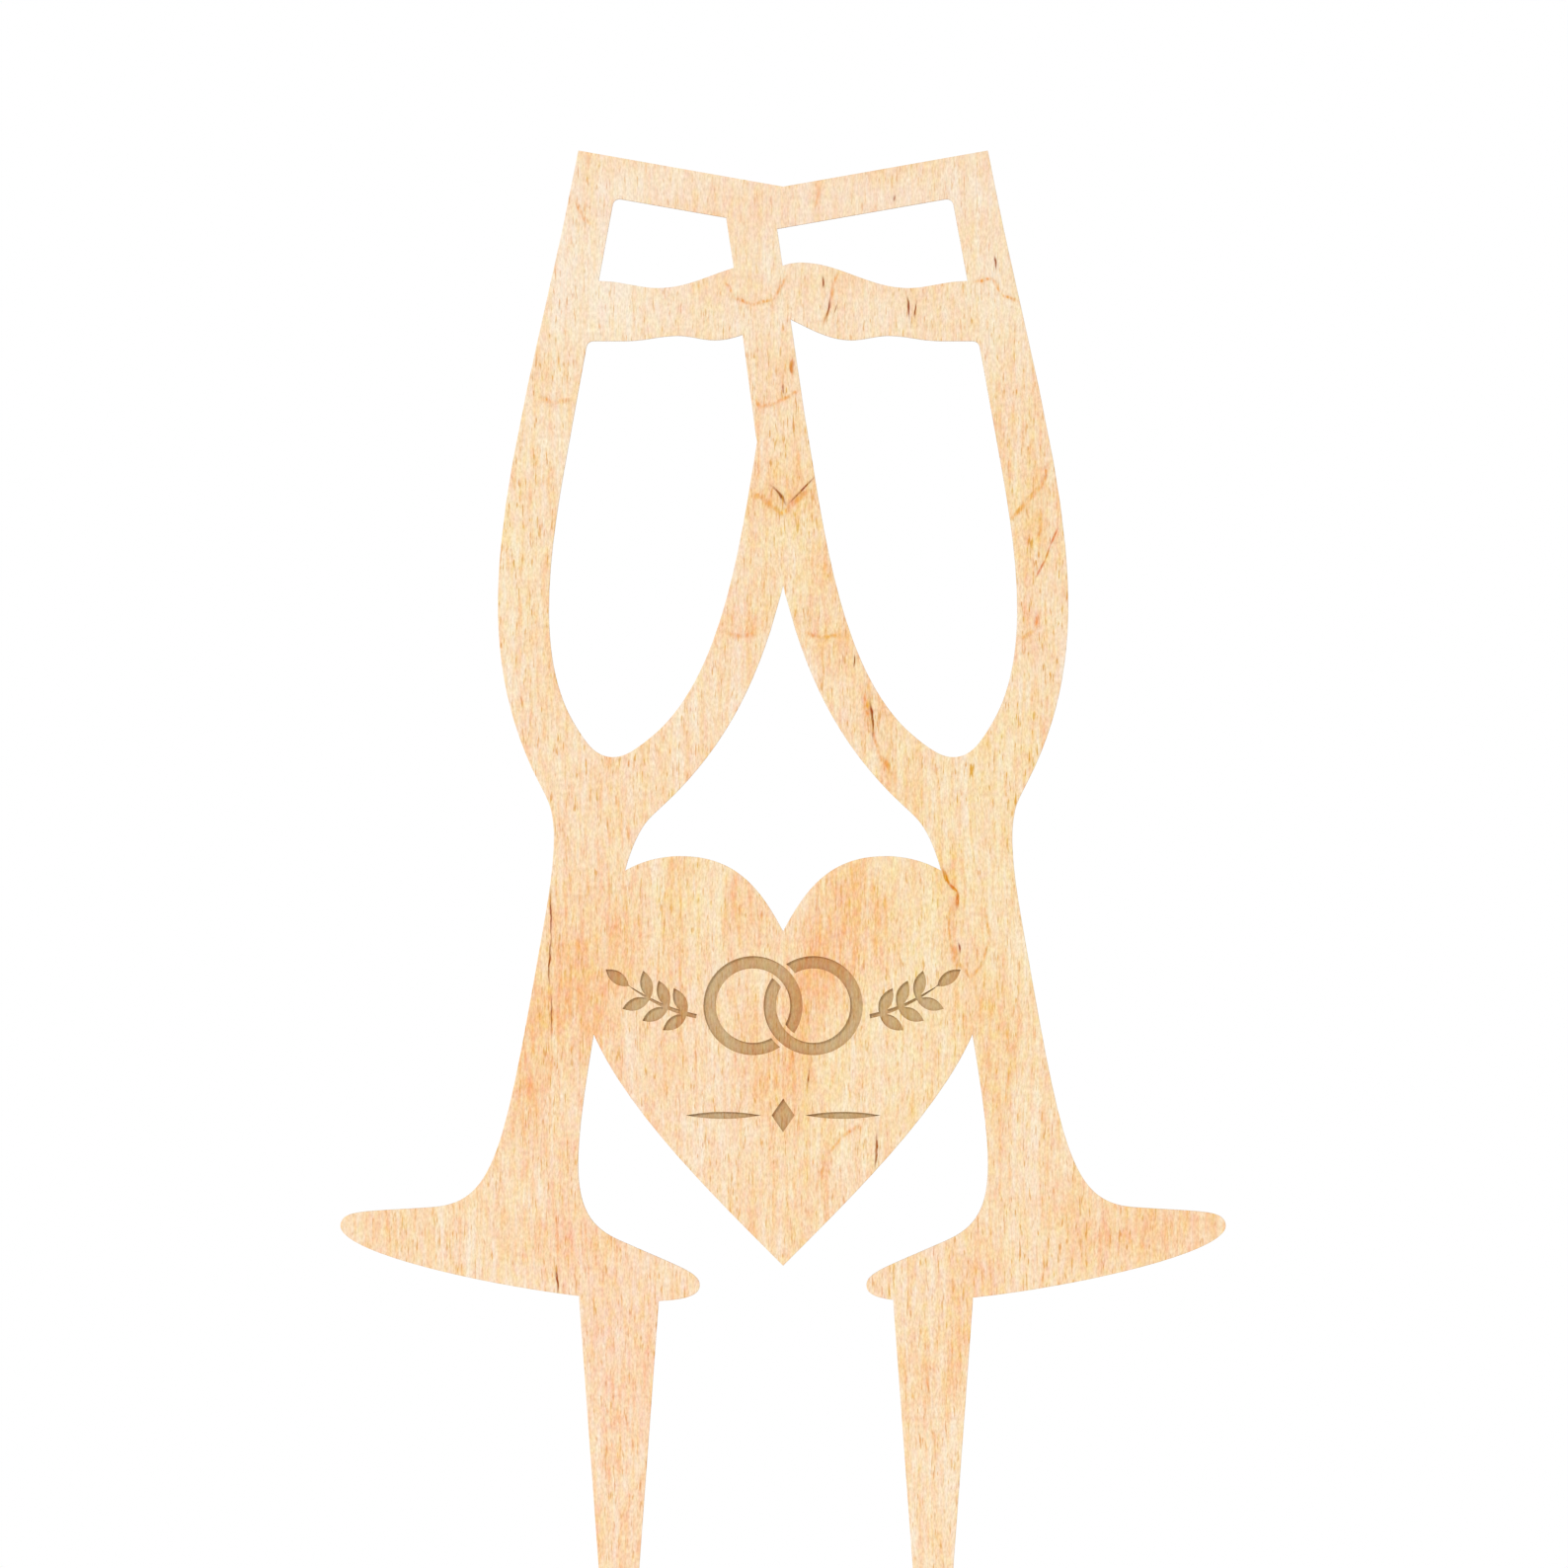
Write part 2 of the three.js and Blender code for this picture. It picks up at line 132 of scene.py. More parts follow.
def add(
    tree: NodeTree, kind: str, inputs: dict | None = None, stops: tuple = (), **settings: object
) -> Node:
    """Adds a node with its settings and links.

    Args:
        tree: The node tree that takes it.
        kind: The node's type, such as "ShaderNodeMath".
        inputs: What each input takes, by its name or place: a value, or the socket that it is linked from.
        stops: The places and colours of a colour ramp.
        settings: The node's own settings.

    Returns:
        The node.
    """
    node = tree.nodes.new(kind)
    for name, value in settings.items():
        setattr(node, name, value)
    for key, value in (inputs or {}).items():
        if isinstance(value, NodeSocket):
            tree.links.new(value, node.inputs[key])
        else:
            node.inputs[key].default_value = value
    for place, (position, colour) in enumerate(stops):
        elements = node.color_ramp.elements
        element = elements[place] if place < len(elements) else elements.new(position)
        element.position = position
        element.color = linear(colour)
    return node


def blank_material(name: str) -> tuple[Material, NodeTree]:
    """Makes a material with an empty node tree.

    Args:
        name: What the real material is.

    Returns:
        The material and its tree.
    """
    material = bpy.data.materials.new(name)
    material.use_nodes = True
    material.node_tree.nodes.clear()
    return material, material.node_tree


@dataclass(frozen=True)
class Streaks:
    """A random pattern of streaks, with their width and length in millimetres.

    The noise behind it lies about 0.5, between 0 and 1. The value goes from low to high as the noise goes
    from the level where the streaks start to the level where they are full.
    """

    width: float
    length: float
    low: float = 0.0
    high: float = 1.0
    start: float = 0.0
    full: float = 1.0
    detail: float = 1.0
    course: Course = Course.UPRIGHT

    def drawn(self, tree: NodeTree, place: NodeSocket) -> NodeSocket:
        """Draws the streaks.

        Args:
            tree: The node tree that takes them.
            place: Where a point of the wood lies, in metres.

        Returns:
            A value from low to high.
        """
        counts = [1 / (self.width * MM)] * 3
        counts[self.course.value] = 1 / (self.length * MM)
        spaced = add(tree, "ShaderNodeVectorMath", {0: place, 1: counts}, operation="MULTIPLY")
        pattern = {"Vector": spaced.outputs[0], "Scale": 1.0, "Detail": self.detail}
        spread = {
            "Value": add(tree, "ShaderNodeTexNoise", pattern).outputs["Fac"],
            "From Min": self.start,
            "From Max": self.full,
            "To Min": self.low,
            "To Max": self.high,
        }
        return add(tree, "ShaderNodeMapRange", spread).outputs["Result"]

    def swayed(self, tree: NodeTree, place: NodeSocket, way: Triple) -> NodeSocket:
        """Moves points to and fro along a way, by the streaks, whose value is then in metres."""
        moved = {0: self.drawn(tree, place), 1: way, 2: place}
        return add(tree, "ShaderNodeVectorMath", moved, operation="MULTIPLY_ADD").outputs[0]


@dataclass(frozen=True)
class Spot:
    """A soft-edged oval in the plane of the sheet, right through it, in millimetres and radians."""

    x: float
    z: float
    width: float
    height: float
    strength: float = 1.0
    tilt: float = 0.0

    def drawn(self, tree: NodeTree, place: NodeSocket) -> NodeSocket:
        """Draws the oval, full in its middle and fading out to its edge.

        Args:
            tree: The node tree that takes it.
            place: Where a point of the wood lies, in metres.

        Returns:
            A value from 0 outside the oval to 1 at its middle.
        """
        endless = 1000.0
        within = add(
            tree,
            "ShaderNodeMapping",
            {
                "Vector": place,
                "Location": (self.x * MM, 0, self.z * MM),
                "Rotation": (0, self.tilt, 0),
                "Scale": (self.width / 2 * MM, endless, self.height / 2 * MM),
            },
            vector_type="TEXTURE",
        )
        oval = add(tree, "ShaderNodeTexGradient", {"Vector": within.outputs[0]}, gradient_type="SPHERICAL")
        return oval.outputs["Fac"]


def gathered(
    tree: NodeTree, place: NodeSocket, spots: tuple[Spot, ...], base: float | NodeSocket
) -> NodeSocket:
    """Adds up ovals, each by its strength.

    Args:
        tree: The node tree that takes them.
        place: Where a point of the wood lies, in metres.
        spots: The ovals.
        base: What they add to.

    Returns:
        The sum.
    """
    total = base
    for spot in spots:
        summed = {0: spot.drawn(tree, place), 1: spot.strength, 2: total}
        total = add(tree, "ShaderNodeMath", summed, operation="MULTIPLY_ADD").outputs[0]
    return total


@dataclass(frozen=True)
class Stroke:
    """A thin line of figure through some points of the sheet, given as x and z in millimetres."""

    points: tuple[tuple[float, float], ...]
    width: float
    strength: float = 1.0

    def spots(self) -> list[Spot]:
        """Breaks the line into slim ovals, one from each point to the next.

        Returns:
            The ovals, each wider than the line and running past both of its points, so that the line is
            where an oval is about half full or more, and the rest is the soft tint beside it.
        """
        spread = 2.4
        ovals = []
        for (x0, z0), (x1, z1) in zip(self.points, self.points[1:]):
            length = math.hypot(x1 - x0, z1 - z0)
            tilt = math.atan2(x1 - x0, z1 - z0)
            middle = ((x0 + x1) / 2, (z0 + z1) / 2)
            ovals.append(Spot(*middle, self.width * spread, length * spread, self.strength, tilt))
        return ovals


@dataclass(frozen=True)
class LineWork:
    """Lines of one colour in the veneer, with ragged sides, broken up by the fibres."""

    strokes: tuple[Stroke, ...]
    colour: str
    # How strong the tint beside the lines is
    beside: float
    broken: Streaks
    ragged: Streaks = Streaks(1.6, 3.0, -0.45 * MM, 0.45 * MM, detail=2.0)
    # How full an oval is where a line starts, where it is full and where the tint is
    line_start: float = 0.4
    line_full: float = 0.75
    beside_full: float = 0.6

    def laid(self, tree: NodeTree, place: NodeSocket, below: NodeSocket) -> NodeSocket:
        """Lays the lines, and a weak tint beside them, over the colour of the wood.

        Args:
            tree: The node tree that takes them.
            place: Where a point lies in the leaf of veneer, in metres.
            below: The colour of the wood.

        Returns:
            The colour of the wood with the lines.
        """
        rough = self.ragged.swayed(tree, place, IN_PLANE)
        fill = 0.0
        for stroke in self.strokes:
            for spot in stroke.spots():
                weighed = {0: spot.drawn(tree, rough), 1: spot.strength}
                oval = add(tree, "ShaderNodeMath", weighed, operation="MULTIPLY").outputs[0]
                fill = add(tree, "ShaderNodeMath", {0: fill, 1: oval}, operation="MAXIMUM").outputs[0]
        along = {"Value": fill, "From Min": self.line_start, "From Max": self.line_full}
        line = add(tree, "ShaderNodeMapRange", along).outputs["Result"]
        around = {"Value": fill, "From Max": self.beside_full, "To Max": self.beside}
        tint = add(tree, "ShaderNodeMapRange", around).outputs["Result"]
        shown = {0: line, 1: self.broken.drawn(tree, place), 2: tint}
        share = add(tree, "ShaderNodeMath", shown, operation="MULTIPLY_ADD").outputs[0]
        mixed = {MIX_FACTOR: share, MIX_A: below, MIX_B: linear(self.colour)}
        return add(tree, "ShaderNodeMix", mixed, data_type="RGBA").outputs[MIX_RESULT]


# Where the veneer is more peach than the rest, or paler where the strength is below 0
TONE_SPOTS = (
    # Rims and drink
    Spot(-14.8, 126.4, 32, 8, -0.28),
    Spot(11.0, 124.7, 32, 8, -0.25),
    Spot(21.0, 126.8, 16, 11, -0.24),
    Spot(0.2, 119.0, 14, 14, -0.32),
    Spot(-25.2, 121.0, 9, 16, -0.13),
    Spot(-20.0, 114.5, 26, 26, -0.5),
    Spot(24.0, 113.0, 14, 28, -0.26),
    Spot(-4.0, 110.5, 22, 9, -0.28),
    Spot(10.0, 111.0, 18, 9, -0.3),
    # Bowls
    Spot(-26.0, 96.0, 8, 22, -0.22),
    Spot(28.6, 87.0, 9, 22, 0.2),
    Spot(0.0, 99.5, 8, 9, -0.15),
    Spot(0.0, 90.9, 14, 9, 0.3),
    Spot(4.5, 83.0, 6, 14, 0.35),
    Spot(-5.3, 76.4, 9, 4, 0.2),
    Spot(6.5, 75.0, 12, 8, 0.3),
    Spot(-7.5, 68.5, 14, 13, -0.25),
    Spot(11.2, 66.0, 7, 20, 0.08, -0.5),
    Spot(-25.0, 61.5, 11, 14, -0.15),
    Spot(13.0, 57.5, 9, 8, 0.25),
    # Stems
    Spot(-23.2, 35.4, 13, 26, 0.55),
    Spot(-29.0, 25.0, 7, 30, 0.5),
    Spot(-17.6, 41.0, 6, 17, 0.32),
    Spot(-21.2, 46.6, 7, 11, 0.17),
    Spot(18.8, 48.0, 6, 9, 0.25),
    Spot(19.8, 41.0, 7, 15, 0.12),
    Spot(23.2, 32.5, 12, 17, 0.32),
    Spot(24.3, 23.0, 5, 20, 0.22),
    Spot(28.5, 19.0, 8, 16, -0.22),
    # Heart
    Spot(7.5, 42.5, 10, 26, 0.52),
    Spot(3.0, 37.0, 10, 17, 0.54),
    Spot(0.0, 27.0, 12, 18, 0.46),
    Spot(11.8, 43.0, 7, 18, 0.3),
    Spot(-4.2, 44.0, 7, 14, 0.34),
    Spot(-11.8, 42.0, 4, 24, 0.28),
    Spot(-8.8, 17.5, 8, 20, -0.3),
    Spot(-3.0, 10.0, 8, 10, 0.25),
    # Feet and stakes
    Spot(-45.0, 8.0, 12, 8, 0.15),
    Spot(-27.0, 6.8, 15, 10, 0.25),
    Spot(-33.5, 5.0, 8, 8, -0.2),
    Spot(22.0, 3.5, 9, 12, 0.26),
    Spot(12.3, 0.8, 9, 6, -0.2),
    Spot(32.5, 10.0, 9, 10, 0.18),
    Spot(42.0, 7.5, 24, 12, 0.34),
    Spot(20.2, -3.5, 5, 18, 0.25),
    Spot(17.6, -18.0, 9, 15, -0.3),
    Spot(-17.0, -12.0, 7, 20, 0.15),
    Spot(-21.2, -28.0, 7, 12, 0.26),
)

# Where the veneer is yellower than the rest, or pinker where the strength is below 0. The strength is in
# turns of the colour wheel
HUE_SPOTS = (
    Spot(-19.0, -2.0, 30, 76, -0.01),
    Spot(-26.0, 122.0, 16, 26, -0.008),
    Spot(0.0, 124.0, 60, 12, -0.007),
    Spot(-30.0, 87.0, 10, 26, 0.01),
    Spot(1.0, 86.0, 14, 22, 0.01),
    Spot(28.0, 88.0, 10, 20, 0.009),
    Spot(24.0, 112.0, 10, 16, 0.008),
    Spot(17.0, 40.0, 36, 70, 0.014),
    Spot(19.6, 41.0, 8, 14, -0.013),
    Spot(7.5, 42.0, 13, 20, -0.008),
    Spot(26.0, 62.0, 14, 24, 0.008),
    Spot(-10.0, 44.0, 14, 20, 0.009),
    Spot(4.0, 21.0, 12, 20, 0.009),
)

# Where open vessels crowd, or are few where the strength is below 0
VESSEL_SPOTS = (
    Spot(-29.5, 84.0, 15, 58, 0.25),
    Spot(30.0, 75.0, 16, 52, 0.5),
    Spot(0.5, 98.0, 16, 26, 0.3),
    Spot(-21.0, 61.0, 24, 18, 0.25),
    Spot(24.0, 60.0, 18, 20, 0.45),
    Spot(-27.5, 30.0, 12, 44, 0.25),
    Spot(30.0, 8.0, 40, 18, 0.25),
    Spot(0.0, 121.0, 80, 24, -0.5),
)

# Where the grain is calmer than elsewhere, by a strength below 0
GRAIN_SPOTS = (Spot(0.0, 122.0, 120, 56, -0.5),)

# Growth lines that curve through the veneer
FLAMES = LineWork(
    strokes=(
        Stroke(((-6.6, 115.0), (-5.4, 113.5), (-3.4, 112.5), (-0.9, 113.3), (0.2, 115.6)), 0.4, 0.85),
        Stroke(((6.2, 116.6), (5.4, 114.6), (5.2, 112.9), (4.5, 110.4)), 0.45, 0.8),
        Stroke(((-3.0, 102.0), (-2.6, 101.0), (-0.6, 101.5), (1.1, 102.4), (1.9, 103.0)), 0.5, 0.85),
        Stroke(((-3.6, 90.8), (-2.3, 91.0), (-1.3, 89.6), (0.2, 89.1), (1.1, 90.1), (2.8, 91.6)), 0.6),
        Stroke(((18.6, 45.0), (18.7, 40.6), (19.4, 38.2), (21.0, 36.5)), 0.42, 0.85),
        Stroke(((21.0, 36.5), (22.2, 38.0), (22.9, 40.8), (22.6, 45.0)), 0.42, 0.8),
        Stroke(((4.0, 13.2), (5.0, 16.4), (6.8, 18.7), (8.6, 19.8)), 0.45, 0.8),
        Stroke(((21.9, 115.3), (23.8, 115.6), (24.8, 114.0), (26.4, 112.8)), 0.4, 0.85),
        Stroke(((-23.6, 124.6), (-22.8, 122.8), (-21.8, 121.6)), 0.5, 0.75),
        Stroke(((9.5, 69.4), (9.9, 64.8), (11.0, 61.8), (12.2, 59.4)), 0.5, 0.9),
        Stroke(((4.0, 126.0), (3.4, 123.0)), 0.5, 0.65),
        Stroke(((16.1, -7.0), (16.5, -13.0), (17.5, -18.5)), 0.5, 0.65),
        Stroke(((-27.6, 102.2), (-25.8, 101.6), (-24.0, 101.9)), 0.7, 0.75),
        Stroke(((-6.6, 75.4), (-4.6, 75.0), (-3.2, 75.6)), 0.6, 0.75),
        Stroke(((2.6, 75.6), (4.6, 75.0), (6.6, 75.3)), 0.6, 0.8),
        Stroke(((25.2, 32.5), (25.4, 27.0), (25.2, 21.0)), 0.6, 0.7),
        Stroke(((29.7, 94.4), (29.4, 92.6), (27.6, 90.4), (26.2, 88.6)), 0.5),
        Stroke(((29.0, 89.8), (29.1, 85.4)), 0.5, 0.8),
        Stroke(((28.8, 77.6), (28.5, 75.9), (26.8, 74.8)), 0.5, 0.9),
    ),
    colour="#EFA960",
    beside=0.18,
    broken=Streaks(0.25, 0.9, 0.0, 0.9, 0.3, 0.62),
)

# Short dark checks and vessels that the sanding laid open
CHECKS = LineWork(
    strokes=(
        Stroke(((10.5, 18.6), (10.4, 15.4)), 0.25),
        Stroke(((-25.6, 3.6), (-25.6, 1.0)), 0.24),
        Stroke(((-26.5, 46.2), (-26.3, 41.0), (-26.4, 36.0)), 0.22, 0.9),
        Stroke(((-26.3, 34.6), (-26.1, 30.0)), 0.2, 0.8),
        Stroke(((4.4, 115.8), (4.5, 114.6)), 0.22, 0.9),
        Stroke(((14.1, 113.6), (14.3, 111.2)), 0.2, 0.9),
        Stroke(((14.95, 112.8), (14.85, 111.2)), 0.2, 0.9),
        Stroke(((24.1, 118.1), (24.2, 116.7)), 0.22, 0.9),
        Stroke(((5.1, 113.2), (4.7, 111.0)), 0.22, 0.85),
        Stroke(((5.8, 112.7), (5.5, 111.4)), 0.22, 0.7),
        Stroke(((0.1, 103.7), (0.3, 102.6)), 0.24, 0.8),
        Stroke(((12.6, 125.0), (12.4, 124.1)), 0.34, 0.7),
        Stroke(((10.0, 67.5), (10.1, 63.8)), 0.22),
        Stroke(((8.3, 73.1), (8.2, 71.8)), 0.22, 0.9),
        Stroke(((19.5, 40.4), (19.6, 39.2)), 0.24, 0.9),
        Stroke(((2.9, 26.2), (2.7, 24.0)), 0.24, 0.8),
        Stroke(((-1.2, 92.0), (0.3, 90.1)), 0.34, 0.9),
        Stroke(((0.9, 90.4), (3.5, 93.0)), 0.24, 0.9),
    ),
    colour="#A04E0C",
    beside=0.1,
    broken=Streaks(0.25, 0.9, 0.2, 1.0, 0.2, 0.5),
)

# Amber streaks of stained wood
AMBER = LineWork(
    strokes=(
        Stroke(((17.9, 48.8), (18.7, 47.2), (19.4, 46.2), (19.4, 44.6)), 0.34),
        Stroke(((1.2, 106.2), (1.3, 104.8)), 0.34),
        Stroke(((31.0, 87.2), (30.4, 85.6), (29.7, 83.8), (28.8, 82.0)), 0.24, 0.9),
    ),
    colour="#DC7A30",
    beside=0.2,
    broken=Streaks(0.25, 0.9, 0.0, 0.9, 0.2, 0.5),
)

# Figure, bands, streaks, fibres and the open ends of cells, from coarse to fine. Birch fibres are some
# 0.03 mm wide, so the two finest are drawn about ten times as coarse to show
TONE_STREAKS = (
    Streaks(7.0, 26.0, -0.07, 0.07, detail=2.0),
    Streaks(1.8, 30.0, -0.26, 0.26),
    Streaks(0.75, 11.0, -0.43, 0.43, detail=2.0),
    Streaks(0.4, 2.8, -0.45, 0.45),
    Streaks(0.19, 0.5, -0.185, 0.185),
)


@dataclass(frozen=True)
class BirchVeneer:
    """Rotary-cut birch face veneer, sanded and bare.

    It is matt and nearly white, with fine upright fibres that are now pinker and now yellower, soft peach
    figure, a few curved growth lines and short brown vessels.
    """

    name: str = "sanded birch veneer"
    pale: str = "#FBEAD2"
    cream: str = "#FAD9B0"
    peach: str = "#F8BE85"
    vessel: str = "#E0A24E"
    # White where nothing is charred
    char: str = "#FFFFFF"
    # The tone that streaks and spots add to, from 0 for pale to 1 for peach
    mean_tone: float = 0.45
    # How much the finest fibres darken the wood
    fleck: float = 1.25
    roughness: float = 0.7
    specular: float = 0.25
    relief: float = 0.02 * MM
    leaf_turn: Triple = (1, 1, 1)
    leaf_shift: Triple = (0, 0, 0)
    lines: tuple[LineWork, ...] = ()
    sway: Streaks = Streaks(9.0, 30.0, -0.7 * MM, 0.7 * MM)
    mottle: Streaks = Streaks(1.4, 6.0, 0.1, 1.9, detail=3.0)
    hue_bands: Streaks = Streaks(1.5, 14.0, -0.013, 0.013)
    # Single fibres and vessels are under 0.1 mm wide, so they are drawn several times as coarse to show
    hues: Streaks = Streaks(0.62, 1.1, 0.473, 0.527)
    saturations: Streaks = Streaks(0.62, 1.2, 0.82, 1.18)
    slits: Streaks = Streaks(0.2, 1.6, 0.0, 0.9, 0.63, 0.73)
    # How much of a vessel shows outside the crowds
    lone_slits: float = 0.75

    def made(self) -> Material:
        """Makes the material.

        Returns:
            The material.
        """
        material, tree = blank_material(self.name)
        where = add(tree, "ShaderNodeTexCoord").outputs["Object"]
        cut = {0: where, 1: self.leaf_turn, 2: self.leaf_shift}
        leaf = add(tree, "ShaderNodeVectorMath", cut, operation="MULTIPLY_ADD").outputs[0]
        place = self.sway.swayed(tree, leaf, ACROSS)
        tone, fibres = self.tone(tree, place)
        wood = add(
            tree,
            "ShaderNodeValToRGB",
            {"Fac": tone},
            stops=((0.0, self.pale), (0.5, self.cream), (1.0, self.peach)),
        )
        colour = wood.outputs["Color"]
        for kind in self.lines:
            colour = kind.laid(tree, place, colour)
        flecked = self.flecked(tree, place, fibres, colour)
        burnt = {MIX_FACTOR: 1.0, MIX_A: flecked, MIX_B: linear(self.char)}
        final = add(tree, "ShaderNodeMix", burnt, data_type="RGBA", blend_type="MULTIPLY")
        matt_surface(tree, final.outputs[MIX_RESULT], fibres, self.relief, self.roughness, self.specular)
        return material

    def tone(self, tree: NodeTree, place: NodeSocket) -> tuple[NodeSocket, NodeSocket]:
        """Sums the streaks and spots into the tone of the wood.

        Args:
            tree: The node tree that takes it.
            place: Where a point lies in the leaf of veneer, in metres.

        Returns:
            The tone, 0 pale and 1 peach, and the finest fibres.
        """
        grain = 0.0
        for size in TONE_STREAKS:
            fibres = size.drawn(tree, place)
            grain = add(tree, "ShaderNodeMath", {0: grain, 1: fibres}, operation="ADD").outputs[0]
        calmed = {0: grain, 1: gathered(tree, place, GRAIN_SPOTS, 1.0), 2: self.mean_tone}
        total = add(tree, "ShaderNodeMath", calmed, operation="MULTIPLY_ADD").outputs[0]
        figure = gathered(tree, place, TONE_SPOTS, 0.0)
        mottled = {0: figure, 1: self.mottle.drawn(tree, place), 2: total}
        return add(tree, "ShaderNodeMath", mottled, operation="MULTIPLY_ADD").outputs[0], fibres

    def flecked(
        self, tree: NodeTree, place: NodeSocket, fibres: NodeSocket, colour: NodeSocket
    ) -> NodeSocket:
        """Scatters the vessels, and makes some fibres pinker, yellower, stronger or darker than others.

        Args:
            tree: The node tree that takes it.
            place: Where a point lies in the leaf of veneer, in metres.
            fibres: The finest fibres.
            colour: The colour of the wood.

        Returns:
            The flecked colour.
        """
        crowds = gathered(tree, place, VESSEL_SPOTS, self.lone_slits)
        crowded = {0: self.slits.drawn(tree, place), 1: crowds}
        share = add(tree, "ShaderNodeMath", crowded, operation="MULTIPLY").outputs[0]
        mixed = {MIX_FACTOR: share, MIX_A: colour, MIX_B: linear(self.vessel)}
        slit = add(tree, "ShaderNodeMix", mixed, data_type="RGBA").outputs[MIX_RESULT]
        bright = add(tree, "ShaderNodeMath", {0: fibres, 1: -self.fleck, 2: 1.0}, operation="MULTIPLY_ADD")
        banded = {0: self.hues.drawn(tree, place), 1: self.hue_bands.drawn(tree, place)}
        hue = add(tree, "ShaderNodeMath", banded, operation="ADD").outputs[0]
        changed = {
            "Color": slit,
            "Hue": gathered(tree, place, HUE_SPOTS, hue),
            "Saturation": self.saturations.drawn(tree, place),
            "Value": bright.outputs[0],
        }
        return add(tree, "ShaderNodeHueSaturation", changed).outputs["Color"]


@dataclass(frozen=True)
class LaserEdge:
    """The edge of a layer, toasted by the laser that cut it.

    It is caramel to brown, streaked straight through the sheet where the beam pulsed, and darker towards
    the back, where the beam came out.
    """

    name: str
    light: str
    dark: str
    roughness: float = 0.78
    specular: float = 0.2
    relief: float = 0.05 * MM
    front_toast: float = 0.35
    back_toast: float = 0.7
    fibres: Streaks = Streaks(0.18, 3.0, -0.45, 0.45, course=Course.CROSSWISE)
    pulses: Streaks = Streaks(0.3, 9.0, -0.55, 0.55, detail=2.0, course=Course.THROUGH)
    clouds: Streaks = Streaks(6.0, 6.0, -0.45, 0.45, detail=2.0)

    def made(self) -> Material:
        """Makes the material.

        Returns:
            The material.
        """
        material, tree = blank_material(self.name)
        where = add(tree, "ShaderNodeTexCoord").outputs["Object"]
        deeper = {
            "Value": add(tree, "ShaderNodeSeparateXYZ", {0: where}).outputs["Y"],
            "From Min": CAD_BOX[0].y,
            "From Max": CAD_BOX[1].y,
            "To Min": self.front_toast,
            "To Max": self.back_toast,
        }
        toast = add(tree, "ShaderNodeMapRange", deeper).outputs["Result"]
        burns = self.pulses.drawn(tree, where)
        for shade in (burns, self.fibres.drawn(tree, where), self.clouds.drawn(tree, where)):
            toast = add(tree, "ShaderNodeMath", {0: toast, 1: shade}, operation="ADD").outputs[0]
        shades = ((0.0, self.light), (1.0, self.dark))
        colour = add(tree, "ShaderNodeValToRGB", {"Fac": toast}, stops=shades)
        matt_surface(tree, colour.outputs["Color"], burns, self.relief, self.roughness, self.specular)
        return material


def matt_surface(
    tree: NodeTree, colour: NodeSocket, height: NodeSocket, relief: float, roughness: float, specular: float
) -> None:
    """Finishes a material as a matt surface with a fine relief.

    Args:
        tree: The node tree that takes it.
        colour: The colour of the surface.
        height: How high a point stands, as a share of the relief.
        relief: How deep the relief is, in metres.
        roughness: The roughness of the surface.
        specular: The level of its gloss.
    """
    bump = add(tree, "ShaderNodeBump", {"Height": height, "Distance": relief})
    shader = add(
        tree,
        "ShaderNodeBsdfPrincipled",
        {
            "Base Color": colour,
            "Roughness": roughness,
            "Specular IOR Level": specular,
            "Normal": bump.outputs["Normal"],
        },
    )
    add(tree, "ShaderNodeOutputMaterial", {"Surface": shader.outputs["BSDF"]})


@dataclass(frozen=True)
class StudioFloor:
    """A matt white sheet of paper on a table, which fades into the white around it."""

    name: str = "matt white paper"
    colour: str = "#F1F1EF"
    roughness: float = 0.9
    specular: float = 0.1
    # How far from the object it starts to fade and has gone, in metres
    fade_start: float = 0.3
    fade_end: float = 0.52

    def made(self) -> Material:
        """Makes the material.

        Returns:
            The material.
        """
        material, tree = blank_material(self.name)
        where = add(tree, "ShaderNodeTexCoord").outputs["Object"]
        away = add(tree, "ShaderNodeVectorMath", {0: where}, operation="LENGTH").outputs["Value"]
        faded = {"Value": away, "From Min": self.fade_start, "From Max": self.fade_end}
        gone = add(tree, "ShaderNodeMapRange", faded, interpolation_type="SMOOTHSTEP").outputs["Result"]
        sheet = {
            "Base Color": linear(self.colour),
            "Roughness": self.roughness,
            "Specular IOR Level": self.specular,
        }
        paper = add(tree, "ShaderNodeBsdfPrincipled", sheet).outputs["BSDF"]
        nothing = add(tree, "ShaderNodeBsdfTransparent").outputs["BSDF"]
        mixed = add(tree, "ShaderNodeMixShader", {0: gone, 1: paper, 2: nothing})
        add(tree, "ShaderNodeOutputMaterial", {"Surface": mixed.outputs["Shader"]})
        return material


